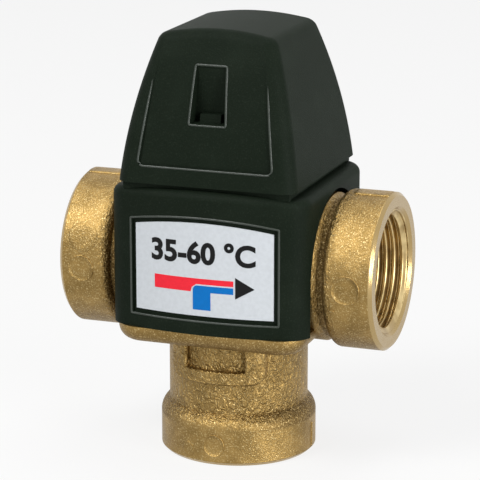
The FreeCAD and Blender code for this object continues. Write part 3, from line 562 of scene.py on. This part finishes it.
def bend_to_label(mesh, bow, ink):
    """Cut a flat print along X every millimetre and bend it to the label."""
    flat = bmesh.new()
    flat.from_mesh(mesh)
    cut = min(vertex.co.x for vertex in flat.verts) + MM
    right = max(vertex.co.x for vertex in flat.verts)
    while cut < right:
        everything = flat.verts[:] + flat.edges[:] + flat.faces[:]
        bmesh.ops.bisect_plane(flat, geom=everything, plane_co=(cut, 0, 0), plane_no=(1, 0, 0))
        cut += MM
    flat.to_mesh(mesh)
    flat.free()
    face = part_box("label")[0][1]

    def place(x, z, outer):
        return x, face + bow - math.sqrt(bow * bow - x * x) - (ink if outer else -ink), z
    thicken(mesh, place)


def flat_mesh(name, outlines):
    """A flat mesh of filled outlines, each a list of (x, height) in metres."""
    mesh = bpy.data.meshes.new(name)
    filled = bmesh.new()
    for outline in outlines:
        filled.faces.new([filled.verts.new((x, y, 0)) for x, y in outline])
    filled.to_mesh(mesh)
    filled.free()
    return mesh


def text_mesh(name, words, height, middle, weight):
    """Figures as a flat mesh, centred on a point."""
    curve = bpy.data.curves.new(name, "FONT")
    curve.body = words
    curve.size = height
    curve.offset = weight
    curve.align_x, curve.align_y = "CENTER", "CENTER"
    curve.resolution_u = 5
    shown = bpy.data.objects.new(name, curve)
    bpy.context.scene.collection.objects.link(shown)
    bpy.context.view_layer.update()
    mesh = bpy.data.meshes.new_from_object(shown)
    bpy.data.objects.remove(shown)
    mesh.materials.clear()
    for vertex in mesh.vertices:
        vertex.co.x += middle[0]
        vertex.co.y += middle[1]
        vertex.co.z = 0
    joined = bmesh.new()
    joined.from_mesh(mesh)
    bmesh.ops.remove_doubles(joined, verts=joined.verts, dist=0.001 * MM)
    joined.to_mesh(mesh)
    joined.free()
    return mesh


# ---------------------------------------------------------------- operators

NODE_FINISHES = {
    "valve_body": "forged brass", "cover": "housing", "cap": "housing", "label": "label film",
    "bonnet": "turned brass", "spindle": "turned brass", "pressure_nut": "turned brass",
    "spring_cup": "turned brass", "element_guide": "turned brass", "element_capsule": "copper",
    "bonnet_o_ring": "rubber", "cold_seat_ring": "rubber", "hot_seat_ring": "rubber",
    "spindle_o_ring": "rubber", "spool_o_ring": "rubber", "flow_insert": "inner plastic",
    "thrust_washer": "inner plastic", "spool": "inner plastic", "knob": "knob plastic",
    "spindle_clip": "steel", "knob_screw": "steel", "cup_ring": "steel",
    "overload_spring": "steel", "piston_pin": "steel", "spool_clip": "steel",
    "return_spring": "steel",
}


class VALVE_OT_finishes(bpy.types.Operator):
    """Make the finishes and give one to every node of the model"""

    bl_idname = "valve.finishes"
    bl_label = "Finishes"

    def execute(self, context):
        looks = context.scene.valve_looks
        forged_brass("forged brass", looks)
        turned_brass("turned brass", looks)
        metal("copper", looks.copper, looks.brass_bright_and_glint, roughness=0.30)
        metal("steel", looks.steel, (0.72, 0.72, 0.71), roughness=0.26)
        moulded("housing", looks.housing, looks.housing_light, roughness=0.55, gloss=0.05,
                grain_size=looks.housing_grain, grain_depth=looks.housing_depth)
        # Rim finish: lighter and glossier than the housing, a painted highlight on the rims.
        moulded("housing rim highlight", looks.housing_light, looks.housing_rim_highlight, roughness=0.34,
                grain_size=looks.housing_grain, grain_depth=looks.housing_depth)
        moulded("knob plastic", looks.knob, (0.03, 0.03, 0.03), roughness=0.38,
                grain_size=0.3 * MM, grain_depth=0.012 * MM)
        moulded("inner plastic", looks.inner, (0.7, 0.7, 0.66), roughness=0.45,
                grain_size=0.4 * MM, grain_depth=0.01 * MM)
        rubber("rubber", looks.rubber)
        film("label film", looks.film)
        film("hot ink", looks.hot_ink)
        film("cold ink", looks.cold_ink)
        film("black ink", looks.black_ink)
        film("white ink", looks.white_ink)
        for node, finish in NODE_FINISHES.items():
            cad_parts[node].material_slots[0].material = finish_of(finish)
        return {"FINISHED"}


class VALVE_OT_threads(bpy.types.Operator):
    """Cut the pipe threads into the three ports"""

    bl_idname = "valve.threads"
    bl_label = "Port threads"

    def execute(self, context):
        sizes = context.scene.valve_sizes
        start, side_end, bottom_end = 0.60 * MM, 14.4 * MM, 15.9 * MM
        for name, place, end in (("hot_port_thread", side_port(-1), side_end),
                                 ("mixed_port_thread", side_port(1), side_end),
                                 ("cold_port_thread", bottom_port, bottom_end)):
            mesh = thread_mesh(name, sizes, start, end, place)
            new_piece(name, mesh, finish_of("turned brass"), "valve")
        return {"FINISHED"}


class VALVE_OT_marks(bpy.types.Operator):
    """Raise the small marks that the forging die leaves on the hubs"""

    bl_idname = "valve.marks"
    bl_label = "Forging marks"

    def execute(self, context):
        # Profiles from outside to the middle: (share of the half-size, height).
        rim = [(1.05, -0.3 * MM), (1.04, -0.02 * MM), (1.01, 0.22 * MM), (0.97, 0.22 * MM),
               (0.93, 0.02 * MM), (0.6, 0.015 * MM)]
        faint = [(1.03, -0.3 * MM), (1.0, 0.01 * MM), (0.96, 0.07 * MM), (0.7, 0.07 * MM)]
        sunk = [(1.04, -0.3 * MM), (1.02, 0.0), (0.98, 0.05 * MM), (0.7, 0.06 * MM)]
        land = [(1.02, -0.3 * MM), (1.0, 0.0), (0.97, 0.16 * MM), (0.7, 0.18 * MM)]
        quarter = HUB_RADIUS * math.pi / 2
        # Place on the hub, width and height in mm, profile, squareness.
        marks = {
            "mixed_hub_disc": (side_barrel(29.4 * MM, -0.4 * MM), 6.1, 6.1, rim, 1.0),
            "hot_hub_disc": (side_barrel(-30 * MM, -1.0 * MM), 5.7, 5.7, rim, 1.0),
            "hot_hub_upper_disc": (side_barrel(-29.7 * MM, 5.9 * MM), 6.6, 6.6, faint, 1.0),
            "cold_hub_disc": (bottom_barrel(4.4 * MM, 0.4 * MM), 4.6, 4.8, rim, 1.0),
            "cold_hub_pin_mark": (bottom_barrel(2.8 * MM, -6.05 * MM), 3.2, 3.4, sunk, 1.0),
            "mixed_hub_land": (side_barrel(30.3 * MM, quarter), 4.8, 8.0, land, 0.25),
            "hot_hub_land": (side_barrel(-30.3 * MM, quarter), 4.8, 8.0, land, 0.25),
            "cold_hub_parting_line": (bottom_barrel(3.6 * MM, quarter), 0.5, 5.6, land, 0.5),
            "cold_hub_land": (bottom_barrel(6.2 * MM, -quarter), 4.0, 3.2, land, 0.4),
            "mixed_hub_nick": (side_barrel(26.2 * MM, -5.3 * MM), 0.5, 1.4, land, 1.0),
        }
        for name, (place, wide, tall, profile, square) in marks.items():
            mesh = boss_mesh(name, place, wide * MM, tall * MM, profile, square)
            new_piece(name, mesh, finish_of("forged brass"), "valve")
        return {"FINISHED"}


class VALVE_OT_rims(bpy.types.Operator):
    """Raise the rounded rims of the housing's label recess, panel and finger notch, lighter as a
    painted highlight
    """

    bl_idname = "valve.rims"
    bl_label = "Housing rims"

    def execute(self, context):
        radius = context.scene.valve_sizes.rim
        half, low, shoulder, top = 16.45, 33.75, 54.5, 56.0
        arched = [(half * side, shoulder + (top - shoulder) * (1 - side * side))
                  for side in (1, 0.8, 0.6, 0.4, 0.2, 0, -0.2, -0.4, -0.6, -0.8, -1)]
        # Node, body, radius of the corners, whether closed, and corners (x, z) in mm.
        rims = {
            "label_recess_rim": ("cover", "valve", 0.25, True,
                                 [(-half, low), (half, low)] + arched),
            "panel_rim": ("cap", "cap", 1.6, False,
                          [(-12.3, 86.0), (-14.95, 65.7), (14.95, 65.7), (12.3, 86.0)]),
            "finger_notch_rim": ("cap", "cap", 0.5, True,
                                 [(-4.1, 74.7), (4.1, 74.7), (3.45, 86.9), (-3.45, 86.9)]),
        }
        for name, (node, body, corner, closed, corners) in rims.items():
            path = rounded_path([(x * MM, z * MM) for x, z in corners], corner * MM, closed)
            mesh = rim_mesh(name, path, front_of(node), radius, closed)
            # The rims carry the lighter rim finish: a painted highlight along their edges.
            new_piece(name, mesh, finish_of("housing rim highlight"), body)
        return {"FINISHED"}


class VALVE_OT_print(bpy.types.Operator):
    """Print the label: a generic flow diagram and its temperature range"""

    bl_idname = "valve.print"
    bl_label = "Label print"

    def execute(self, context):
        sizes = context.scene.valve_sizes
        figures_middle = (0, PORT_HEIGHT + 6.2 * MM)
        boldness = 0.22 * MM

        def at(points):
            """Points in mm from the side ports' axis, as metres."""
            return [(x * MM, PORT_HEIGHT + z * MM) for x, z in points]

        corner = [(math.cos(math.radians(turn)) - 1.0, math.sin(math.radians(turn)) - 1.5)
                  for turn in range(90, 181, 15)]
        red = [(-10.8, -1.9), (-2.5, -1.9), (-2.2, -0.9), (-1.2, -0.2), (6.9, -0.2),
               (6.9, 1.0), (-10.8, 1.0)]
        blue = [(-2.0, -5.75), (1.95, -5.75), (1.95, -1.9), (6.9, -1.9), (6.9, -0.5)] + corner
        arrow = [(7.3, -2.85), (11.4, -0.5), (7.3, 1.8)]
        prints = {
            "hot_flow_print": (flat_mesh("hot_flow_print", [at(red)]), "hot ink"),
            "cold_flow_print": (flat_mesh("cold_flow_print", [at(blue)]), "cold ink"),
            "arrow_print": (flat_mesh("arrow_print", [at(arrow)]), "black ink"),
            "range_print": (text_mesh("range_print", "35-60 °C", sizes.figure_height,
                                      figures_middle, boldness), "black ink"),
        }
        for name, (mesh, ink) in prints.items():
            bend_to_label(mesh, sizes.label_bow, sizes.ink)
            new_piece(name, mesh, finish_of(ink), "valve", smooth=False)
        return {"FINISHED"}


class VALVE_OT_dial(bpy.types.Operator):
    """Print the numbers round the top of the knob"""

    bl_idname = "valve.dial"
    bl_label = "Knob dial"

    def execute(self, context):
        marks = context.scene.valve_sizes.dial_marks
        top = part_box("knob")[1][2]
        first, sweep = 120, 300
        height, boldness, ring = 2.6 * MM, 0.05 * MM, 6.4 * MM
        raised, sunk = 0.03 * MM, -0.05 * MM
        for number in range(marks):
            turn = math.radians(first - sweep * number / (marks - 1))

            def place(x, y, outer, turn=turn):
                y += ring
                return (x * math.cos(turn) - y * math.sin(turn),
                        x * math.sin(turn) + y * math.cos(turn),
                        top + (raised if outer else sunk))
            mesh = text_mesh(f"dial_{number + 1}", str(number + 1), height, (0, 0), boldness)
            thicken(mesh, place)
            new_piece(f"dial_number_{number + 1}", mesh, finish_of("white ink"), "knob",
                      smooth=False)
        return {"FINISHED"}


class VALVE_OT_stage(bpy.types.Operator):
    """Set the floor, the lights, the world and the camera"""

    bl_idname = "valve.stage"
    bl_label = "Stage"

    def execute(self, context):
        scene = context.scene
        stage = scene.valve_stage
        self.world(scene, stage)
        self.floor(scene)
        self.lamp(scene, "key", (-0.36, -0.60, 0.87), 0.45, stage.key)
        self.lamp(scene, "side", (0.90, -0.45, 0.20), 0.50, stage.side)
        self.lamp(scene, "top", (0.10, 0.15, 1.00), 0.50, stage.top)
        self.camera(scene, stage)
        scene.view_settings.view_transform = "Standard"
        return {"FINISHED"}

    def world(self, scene, stage):
        """White where a camera, glossy or transmitted ray meets it, softer as a light."""
        scene.world = bpy.data.worlds.new("studio")
        scene.world.use_nodes = True
        net = Net(scene.world.node_tree)
        camera, glossy, through = net.rays()
        shown = camera.either(glossy).either(through)
        strength = shown * (1 - stage.daylight) + stage.daylight
        net.add("OutputWorld", {}, net.add("Background", {}, (1, 1, 1), strength))

    def floor(self, scene):
        """A pale floor that keeps the shadow and fades into the white round it."""
        half_width, whiteness = 1.5, 0.82
        mesh = bpy.data.meshes.new("floor")
        mesh.from_pydata([(x * half_width, y * half_width, 0)
                          for x, y in ((-1, -1), (1, -1), (1, 1), (-1, 1))], [], [(0, 1, 2, 3)])
        floor = bpy.data.objects.new("floor", mesh)
        scene.collection.objects.link(floor)
        net = Finish("floor")
        paper = net.add("BsdfPrincipled", {}, Base_Color=(0.8, 0.8, 0.8), Roughness=0.9)
        white = net.add("Emission", {}, (1, 1, 1), 1.0)
        camera, glossy, through = net.rays()
        shown = camera.either(glossy).either(through) * whiteness
        net.add("OutputMaterial", {}, net.add("MixShader", {}, shown, paper, white))
        mesh.materials.append(net.material)

    def lamp(self, scene, name, place, size, power):
        """A square lamp that looks at the middle of the side ports."""
        light = bpy.data.lights.new(name, "AREA")
        light.shape = "SQUARE"
        light.size = size
        light.energy = power
        lamp = bpy.data.objects.new(name, light)
        lamp.location = place
        aim = Vector((0, 0, PORT_HEIGHT)) - lamp.location
        lamp.rotation_euler = aim.to_track_quat("-Z", "Y").to_euler()
        scene.collection.objects.link(lamp)

    def camera(self, scene, stage):
        """A camera that looks at its target from a turn, a height and a distance."""
        data = bpy.data.cameras.new("camera")
        data.lens = stage.lens
        data.sensor_width = 36.0
        camera = bpy.data.objects.new("camera", data)
        turn, rise = stage.azimuth, stage.elevation
        back = Vector((math.sin(turn) * math.cos(rise), -math.cos(turn) * math.cos(rise),
                       math.sin(rise)))
        camera.location = Vector(stage.target) + back * stage.distance
        camera.rotation_euler = (-back).to_track_quat("-Z", "Y").to_euler()
        scene.collection.objects.link(camera)
        scene.camera = camera


class VALVE_PT_panel(bpy.types.Panel):
    """Lists the steps in the sidebar"""

    bl_idname = "VALVE_PT_panel"
    bl_label = "Mixing valve"
    bl_space_type = "VIEW_3D"
    bl_region_type = "UI"
    bl_category = "Valve"

    def draw(self, context):
        for step in STEPS:
            self.layout.operator(step.bl_idname)


STEPS = (VALVE_OT_finishes, VALVE_OT_threads, VALVE_OT_marks, VALVE_OT_rims, VALVE_OT_print,
         VALVE_OT_dial, VALVE_OT_stage)
CLASSES = (ValveLooks, ValveSizes, ValveStage) + STEPS + (VALVE_PT_panel,)
GROUPS = {"valve_looks": ValveLooks, "valve_sizes": ValveSizes, "valve_stage": ValveStage}


def register():
    for item in CLASSES:
        bpy.utils.register_class(item)
    for name, group in GROUPS.items():
        setattr(bpy.types.Scene, name, PointerProperty(type=group))


def unregister():
    for name in GROUPS:
        delattr(bpy.types.Scene, name)
    for item in reversed(CLASSES):
        bpy.utils.unregister_class(item)


def main():
    register()
    bpy.ops.valve.finishes()
    bpy.ops.valve.threads()
    bpy.ops.valve.marks()
    bpy.ops.valve.rims()
    bpy.ops.valve.print()
    bpy.ops.valve.dial()
    bpy.ops.valve.stage()


if __name__ == "__main__":
    main()
